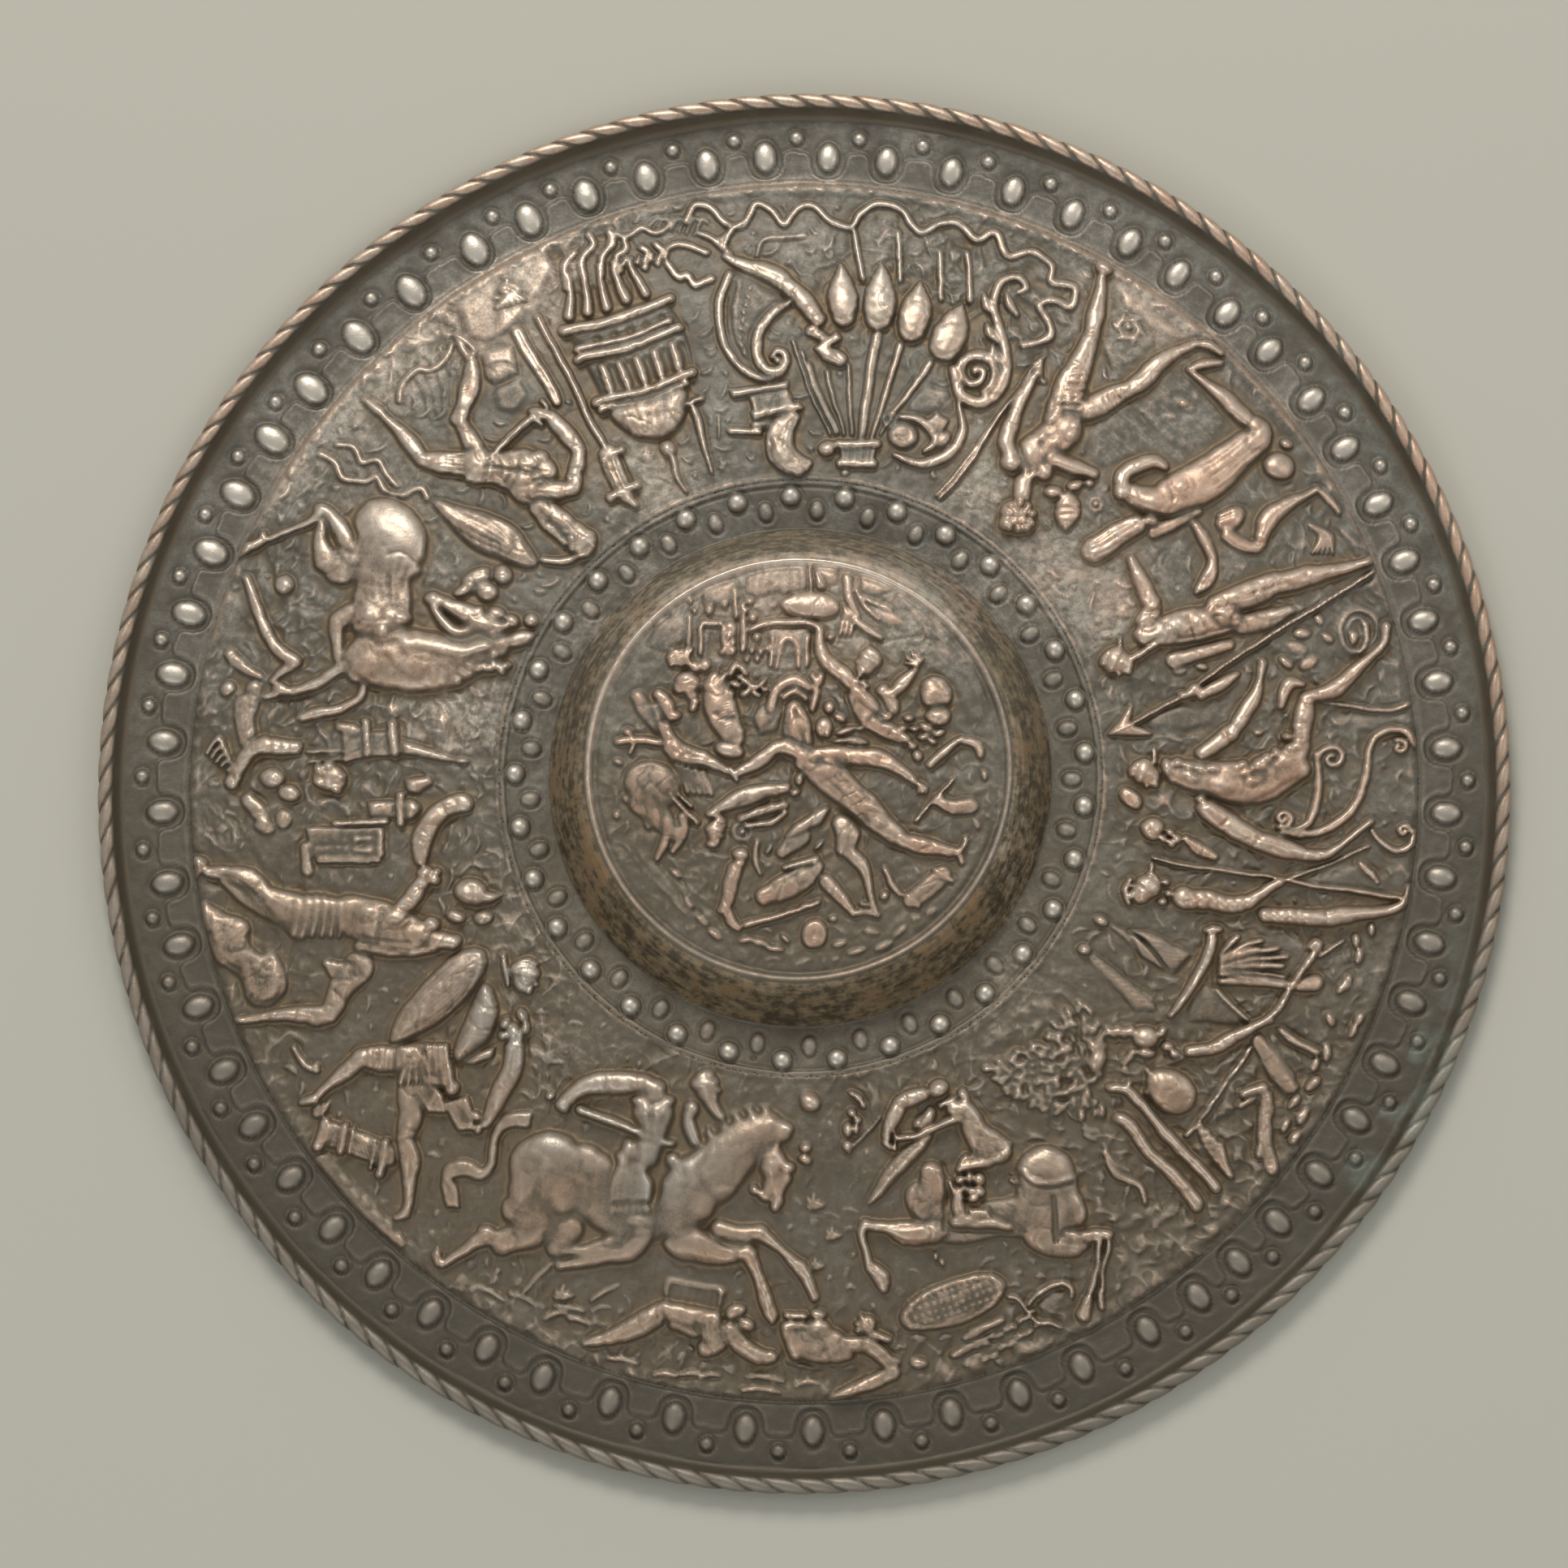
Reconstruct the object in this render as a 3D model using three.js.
// A round embossed parade shield (buckler) of sheet copper, lying face up on its flat border.
// Millimetres, +Z out of the front face, origin on the floor under the centre, +Y towards the top of the frieze.
// It is one worked piece: a dished shell with a turned-up roped rim, a border of ovals and beads,
// a figured field, a beaded channel and a raised boss, hollow behind.
import * as THREE from "three";

// ---- driving sizes ----
const RIM_R = 280; // outside radius of the rolled rim
const ROLL_R = 3.5; // radius of the rolled, roped edge
const ROLL_Z = 6.5; // height of the roll's centre: the edge is turned up, proud of the border
const WALL = 1.8; // thickness of the metal
const BORDER_Z = 1.8; // top of the flat border
const BORDER_OUT = 270; // where the border turns up into the roll
const BORDER_IN = 244.6; // where the border meets the field's step
const FIELD_OUT = 243.2; // top of that step
const FIELD_EDGE_Z = 3.9; // field level beside its outer line
const CHANNEL_R = 118.4; // line between the field and the beaded channel
const CHANNEL_Z = 26.4; // field level beside the channel
const FIELD_CURVE = 1.5; // exponent of the field's convex section
const FOOT_R = 99; // foot of the boss wall
const FOOT_Z = 24.6; // level of the channel there
const BOSS_R = 83; // ring moulding at the top of the boss wall
const BOSS_Z = 46.4; // height of the wall under that ring
const BOSS_LIP = 0.9; // how far the ring stands up
const CROWN_Z = 49.5; // centre of the boss's figured roundel
const HOLLOW_R = 248; // inner edge of the flat the shield lies on
const PAD_R = 34; // flat pad inside the boss, where a grip is riveted
const OVALS = 62; // ovals round the border, with a small bead between each two
const BEADS = 33; // beads round the channel, with an egg between each two
const OVAL = { r: 255.2, half: 5.4, flat: 3.0, wide: 3.6, high: 2.6 };
const STUD = { r: 263.2, half: 2.4, wide: 2.3, high: 1.7 };
const BEAD = { r: 112.2, half: 3.6, wide: 3.6, high: 3.0, first: 4.6 };
const EGG = { r: 106.8, half: 3.6, wide: 2.9, high: 1.9 };
const FIELD_COLUMNS = 124,
  BOSS_COLUMNS = 66,
  BACK_COLUMNS = 62; // facets round each part

// ---- larger masses of the carving: [angle, radius, half length, half width, height, lean] ----
// Angles are degrees clockwise from the top of the frieze; lean is the long axis's angle from the outward radius.
const CARVING = {
  "trophy of arms": [
    [5, 194, 14.8, 6.7, 4.2, -5], [9, 195, 16.5, 6.7, 4.4, -5], [14, 192, 13.6, 6, 4, 0],
    [19, 185, 12, 6, 3.8, 5], [10, 131, 11.7, 6, 4.2, 75], [351, 188, 21.1, 5.3, 3.6, 0],
    [355, 168, 15.8, 5.3, 3.6, 80], [355, 148, 13.6, 8.8, 4.2, -65], [358, 130, 14, 6.4, 3.8, -60],
    [355, 206, 14.2, 5, 3.6, -55], [1, 185, 22.4, 5, 3.8, -35], [24, 176, 10.8, 11.3, 3.4, 25],
    [24, 202, 15.1, 4.2, 3, -30], [21, 150, 13.8, 8.5, 3, 40], [9, 157, 27, 5, 2.4, -10],
    [14, 156, 23.9, 4.2, 2.2, 0],
  ],
  "fire tower": [
    [339, 203, 26.8, 4.6, 4, -90], [340, 187, 24.5, 6, 4.8, -85], [339, 169, 23.4, 5, 4.4, -85],
    [338, 157, 13.3, 13.4, 5.2, -50], [341, 220, 32.5, 7.8, 2.6, -80],
  ],
  "standard": [
    [329, 171, 35.2, 4.2, 3.4, 0], [329, 227, 7.8, 7.8, 2.8, 20], [327, 191, 17.6, 5.7, 2.8, -5],
  ],
  "swordsman": [
    [311, 215, 21.8, 4.6, 3.6, 5], [319, 207, 18.9, 4.2, 2.6, 25], [313, 186, 19.8, 8.5, 4.6, -20],
    [316, 164, 18.9, 9.9, 5.2, -25], [323, 164, 16.2, 5, 3.8, -5], [318, 133, 8.6, 7.1, 4.6, 5],
  ],
  "swordsman shield": [
    [309, 159, 20.9, 9.5, 4.6, 5],
  ],
  "rearing horse": [
    [302, 186, 13.3, 14.9, 6.2, 30], [294, 179, 21.7, 15.6, 6.4, 45], [289, 158, 22.9, 12.7, 6.4, -15],
    [296, 136, 23.7, 9.9, 5.4, -50], [302, 136, 14.9, 7.8, 4.4, 0], [297, 209, 15.8, 7.1, 4.2, 25],
    [296, 232, 18.3, 3.9, 3.2, -40], [283, 194, 17.6, 4.6, 3.6, -60],
  ],
  "castle": [
    [263, 182, 23, 12.7, 4, 10], [275, 165, 14.4, 7.8, 3.2, 10], [270, 203, 20.7, 8.5, 3.6, 55],
    [269, 172, 14.2, 7.8, 3.2, 40],
  ],
  "standard bearer": [
    [260, 229, 19.6, 6.4, 4.2, 25], [256, 201, 25.2, 9.9, 4.8, 35], [250, 172, 26.5, 12.7, 6, 30],
    [258, 151, 25.3, 4.6, 3.6, -45], [250, 135, 8.1, 8.8, 5.2, 45], [246, 209, 19.8, 6, 4, -5],
  ],
  "notched shield": [
    [253, 231, 26.3, 12.7, 4.4, 70],
  ],
  "guard shield": [
    [240, 165, 24.4, 11.7, 5, -5],
  ],
  "guard": [
    [235, 138, 12.9, 7.8, 4.6, 55], [230, 155, 20.6, 10.6, 4.8, 90], [233, 183, 20.7, 10.6, 4.2, 75],
    [236, 213, 17.8, 5.3, 3.8, 0], [227, 211, 21.1, 5.3, 3.8, -50], [224, 169, 12.7, 5, 3.2, 5],
  ],
  "broken column": [
    [232, 226, 18.9, 7.8, 4.2, 55],
  ],
  "galloping horse left": [
    [212, 184, 20.4, 15.6, 6.2, -80], [209, 200, 20.8, 8.5, 5, 85], [209, 217, 23.1, 4.6, 3.4, 55],
    [197, 181, 23.4, 12.7, 5.2, 55], [191, 160, 24.2, 13.4, 6, 35], [185, 150, 15.9, 7.8, 4.6, -65],
    [188, 194, 18.9, 5.3, 3.8, -65], [183, 186, 20.1, 4.6, 3.4, -50],
  ],
  "rider left": [
    [211, 146, 20.6, 6, 4, 60], [203, 152, 17.4, 8.5, 5, -30], [196, 131, 5.6, 6, 4.4, 75],
    [202, 175, 13.8, 9.9, 4, -20],
  ],
  "fallen men": [
    [196, 223, 23.3, 7.1, 4, 65], [188, 220, 20.1, 7.8, 4.2, -70], [177, 224, 17.7, 7.8, 4.6, -70],
    [173, 214, 5.9, 5.3, 3.4, -60],
  ],
  "galloping horse right": [
    [149, 189, 19.8, 15.6, 6.2, 20], [155, 193, 22.4, 10.6, 4.6, -65], [164, 183, 20.1, 9.2, 4.4, -85],
    [151, 221, 13.8, 5, 3.6, -25], [168, 183, 16.4, 4.6, 3.4, -90],
  ],
  "cloaked rider": [
    [157, 138, 6.4, 6, 4.4, -40], [163, 155, 18.2, 9.2, 4.6, -15], [154, 163, 16.5, 8.5, 4.8, -15],
    [165, 167, 15.6, 7.8, 4.2, -85],
  ],
  "field shield": [
    [164, 213, 16, 7.8, 3.6, 90],
  ],
  "tree": [
    [140, 150, 24.7, 10.6, 4.2, -65], [134, 151, 14.7, 9.9, 4.2, -20], [137, 199, 29.2, 3.5, 3.4, -10],
    [134, 202, 26.6, 3.2, 3.2, 0],
  ],
  "archer": [
    [126, 179, 17.4, 6, 4, -30], [121, 197, 15.7, 3.2, 2.8, -45], [130, 188, 9.8, 8.5, 4.6, -25],
    [129, 223, 17.3, 5, 3.4, -5],
  ],
  "tents": [
    [119, 160, 28, 10.6, 3.4, 15], [118, 185, 21.3, 9.2, 3.4, 50],
  ],
  "spearman low": [
    [108, 142, 6.7, 6.4, 4.6, 10], [106, 170, 20.7, 6, 4.2, -20], [104, 212, 26.1, 4.6, 3.4, -10],
  ],
  "scroll-tailed figure": [
    [91, 138, 6.7, 6.4, 4.8, 25], [89, 170, 27.6, 10.6, 5.4, -5], [97, 175, 16, 6, 4.2, 25],
    [80, 209, 18.7, 4.6, 3.6, -40], [98, 198, 16.3, 4.2, 3.2, -15], [86, 219, 14.5, 5, 3, 30],
  ],
  "spearman high": [
    [69, 139, 8.5, 7.8, 4.8, 40], [68, 173, 25.1, 10.6, 5.4, 5], [68, 210, 24.5, 6, 4.2, -5],
    [62, 167, 13.9, 6, 3.6, 60],
  ],
  "running soldiers": [
    [39, 139, 7.1, 7.4, 4.6, 85], [38, 160, 15.8, 9.9, 5, 0], [35, 186, 19.7, 7.8, 4.6, -20],
    [32, 216, 21, 4.6, 3.6, -20], [51, 163, 14.9, 9.9, 4.6, 10], [53, 198, 24.9, 11.3, 5.2, 10],
    [40, 222, 15.9, 5, 3.2, 15], [57, 231, 9.4, 9.2, 3.6, 80],
  ],
  "crown castle": [
    [330, 62, 12.7, 7.8, 2.2, 75], [356, 53, 10.6, 8.5, 2.2, 85], [6, 67, 7.1, 7.1, 2, 85],
  ],
  "crown warriors": [
    [306, 55, 8.9, 7.8, 2.6, 0], [282, 50, 16.2, 7.1, 2.8, 15], [307, 35, 12.9, 6.4, 2.6, 15],
    [283, 15, 14.6, 4.2, 2.6, -35], [38, 34, 16.7, 4.2, 2.6, -85], [44, 51, 8.4, 6.4, 2.6, -70],
    [73, 58, 9.9, 7.8, 2.6, 70], [90, 20, 13.5, 7.1, 3, -10], [114, 46, 21.4, 4.6, 2.6, 15],
    [142, 14, 17.6, 4.6, 2.4, -80], [260, 49, 20.7, 9.2, 2.6, 30], [215, 49, 10.4, 7.1, 2.6, -55],
    [183, 46, 13.5, 7.1, 2.6, -80], [156, 44, 16, 5, 2.4, -25],
  ],
};

// ---- front section: height of the metal's face at radius r ----
const lerp = (a, b, t) => a + (b - a) * t;
const rad = (degrees) => (degrees * Math.PI) / 180;
function frontHeight(r) {
  if (r >= BORDER_IN) return BORDER_Z;
  if (r >= CHANNEL_R) {
    const t = Math.min(1, (r - CHANNEL_R) / (FIELD_OUT - CHANNEL_R));
    return lerp(CHANNEL_Z, FIELD_EDGE_Z, t ** FIELD_CURVE);
  }
  if (r >= FOOT_R) return lerp(FOOT_Z, CHANNEL_Z - 0.6, (r - FOOT_R) / (CHANNEL_R - FOOT_R));
  if (r >= BOSS_R) {
    const t = (FOOT_R - r) / (FOOT_R - BOSS_R);
    return lerp(FOOT_Z, BOSS_Z, Math.sin((t * Math.PI) / 2) ** 1.15);
  }
  return lerp(CROWN_Z, BOSS_Z - 0.6, (r / BOSS_R) ** 2);
}

// Height of the carving over the shell at a place: the highest of the rounded masses there.
const masses = Object.values(CARVING)
  .flat()
  .map(([angle, r, long, wide, high, lean]) => {
    const a = rad(angle),
      b = rad(angle + lean);
    return { x: r * Math.sin(a), y: r * Math.cos(a), ux: Math.sin(b), uy: Math.cos(b), long, wide, high };
  });
function carvingHeight(x, y) {
  let best = 0;
  for (const m of masses) {
    const dx = x - m.x,
      dy = y - m.y;
    const along = (dx * m.ux + dy * m.uy) / (m.long + 1.5),
      across = (dx * m.uy - dy * m.ux) / (m.wide + 2);
    const q = 1 - along * along - across * across;
    if (q > 0) best = Math.max(best, m.high * Math.sqrt(q));
  }
  return best;
}

// ---- the surface as a run of rings, each a list of [angle in degrees, x, y, z] in rising angle ----
const point = (angle, r, z) => [angle, r * Math.sin(rad(angle)), r * Math.cos(rad(angle)), z];
function plain(r, z, count, first = 0) {
  return Array.from({ length: count }, (_, i) => point(first + (i * 360) / count, r, z));
}
function carved(r, count, raise = 0) {
  return plain(r, frontHeight(r) + raise, count).map(([a, x, y, z]) => [a, x, y, z + carvingHeight(x, y)]);
}
// A ring that crosses a row of bosses: a low point either side of each one and a raised point on it.
function studded(r, z, count, wide, high, first) {
  const side = (wide / r) * (180 / Math.PI),
    out = [];
  for (let i = 0; i < count; i++) {
    const a = first + (i * 360) / count;
    out.push(point(a - side, r, z), point(a, r, z + high), point(a + side, r, z));
  }
  return out.sort((p, q) => p[0] - q[0]);
}

const STEP = 360 / OVALS,
  TURN = 360 / BEADS,
  EGG_FIRST = BEAD.first + TURN / 2;
const channel = (r) => frontHeight(r);
const front = [];
for (const r of [9, 20]) front.push(carved(r, BOSS_COLUMNS / 2));
for (const r of [31, 42, 52, 62, 71]) front.push(carved(r, BOSS_COLUMNS));
front.push(plain(BOSS_R - 2.2, frontHeight(BOSS_R - 2.2), BOSS_COLUMNS));
front.push(plain(BOSS_R - 0.8, BOSS_Z + BOSS_LIP, BOSS_COLUMNS));
front.push(plain(BOSS_R + 1.0, frontHeight(BOSS_R + 1.0) + 0.5, BOSS_COLUMNS));
for (const r of [88, 93.5, FOOT_R]) front.push(plain(r, frontHeight(r), BOSS_COLUMNS));
front.push(plain(EGG.r - EGG.half, channel(EGG.r - EGG.half), BEADS, EGG_FIRST));
front.push(studded(EGG.r, channel(EGG.r), BEADS, EGG.wide, EGG.high, EGG_FIRST));
front.push(plain(109.4, channel(109.4), 2 * BEADS, BEAD.first));
front.push(studded(BEAD.r, channel(BEAD.r), BEADS, BEAD.wide, BEAD.high, BEAD.first));
front.push(plain(BEAD.r + BEAD.half, channel(BEAD.r + BEAD.half), BEADS, BEAD.first));
front.push(carved(CHANNEL_R, FIELD_COLUMNS));
const FIELD_ROWS = 12;
for (let i = 1; i <= FIELD_ROWS; i++)
  front.push(carved(lerp(CHANNEL_R, FIELD_OUT, i / FIELD_ROWS), FIELD_COLUMNS));
front.push(plain(BORDER_IN, BORDER_Z, FIELD_COLUMNS));
front.push(plain(OVAL.r - OVAL.half, BORDER_Z, OVALS));
front.push(studded(OVAL.r - OVAL.flat, BORDER_Z, OVALS, OVAL.wide, OVAL.high * 0.85, 0));
front.push(studded(OVAL.r + OVAL.flat, BORDER_Z, OVALS, OVAL.wide, OVAL.high * 0.85, 0));
front.push(plain(OVAL.r + OVAL.half, BORDER_Z, 2 * OVALS));
front.push(studded(STUD.r, BORDER_Z, OVALS, STUD.wide, STUD.high, STEP / 2));
front.push(plain(STUD.r + STUD.half, BORDER_Z, OVALS, STEP / 2));
front.push(plain(BORDER_OUT, BORDER_Z, OVALS));
for (let i = 0; i <= 5; i++) {
  const a = rad(lerp(195, -115, i / 5));
  front.push(plain(RIM_R - ROLL_R + ROLL_R * Math.cos(a), ROLL_Z + ROLL_R * Math.sin(a), OVALS));
}
front.push(plain(BORDER_OUT + 2.6, 0, OVALS));

// the back: the flat it lies on, then the hollow, one wall thickness behind the front
const backHeight = (r) => Math.min(frontHeight(r + 1.4) - WALL, CROWN_Z - WALL - 1.3);
const back = [];
for (const r of [PAD_R, 71, 80.5, 85, 90, 96.5, 107, 117, 150, 182, 214, 238])
  back.push(plain(r, r === PAD_R ? backHeight(71) + 1.0 : backHeight(r), BACK_COLUMNS));
back.push(plain(HOLLOW_R, 0, BACK_COLUMNS));
back.reverse();

// ---- stitch the rings into one closed body ----
const rings = [...front, ...back];
const xyz = [],
  index = [];
const start = rings.map((ring) => {
  const first = xyz.length / 3;
  for (const [, x, y, z] of ring) xyz.push(x, y, z);
  return first;
});
// Join two rings of any counts, always stepping along the ring whose next point comes first.
function stitch(inner, innerStart, outer, outerStart) {
  const n = inner.length,
    m = outer.length;
  const gap = (a) => Math.abs(((((a - inner[0][0]) % 360) + 540) % 360) - 180);
  let j0 = 0;
  for (let j = 1; j < m; j++) if (gap(outer[j][0]) < gap(outer[j0][0]) - 1e-9) j0 = j;
  const turnI = (i) => inner[i % n][0] + 360 * Math.floor(i / n);
  const base = Math.round((inner[0][0] - outer[j0][0]) / 360) * 360;
  const turnJ = (j) => outer[(j0 + j) % m][0] + 360 * Math.floor((j0 + j) / m) + base;
  let i = 0,
    j = 0;
  while (i < n || j < m) {
    const a = innerStart + (i % n),
      b = outerStart + ((j0 + j) % m);
    const stepInner = j >= m || (i < n && turnI(i) + turnI(i + 1) <= turnJ(j) + turnJ(j + 1));
    if (stepInner) index.push(a, innerStart + ((i + 1) % n), b), i++;
    else index.push(a, outerStart + ((j0 + j + 1) % m), b), j++;
  }
}
for (let k = 0; k + 1 < rings.length; k++) stitch(rings[k], start[k], rings[k + 1], start[k + 1]);
// close the two centres
function fan(ring, first, z, facing) {
  const centre = xyz.length / 3;
  xyz.push(0, 0, z);
  for (let i = 0; i < ring.length; i++) {
    const a = first + i,
      b = first + ((i + 1) % ring.length);
    if (facing) index.push(centre, b, a);
    else index.push(centre, a, b);
  }
}
fan(rings[0], start[0], CROWN_Z + carvingHeight(0, 0), true);
fan(rings.at(-1), start.at(-1), rings.at(-1)[0][3], false);

const geometry = new THREE.BufferGeometry();
geometry.setAttribute("position", new THREE.Float32BufferAttribute(xyz, 3));
geometry.setIndex(index);
geometry.computeVertexNormals();

const copper = new THREE.MeshStandardMaterial({ color: 0x6b5443, roughness: 0.42, metalness: 1.0 });
const shield = new THREE.Mesh(geometry, copper);
shield.name = "shield";

const group = new THREE.Group();
group.add(shield);
export default group;
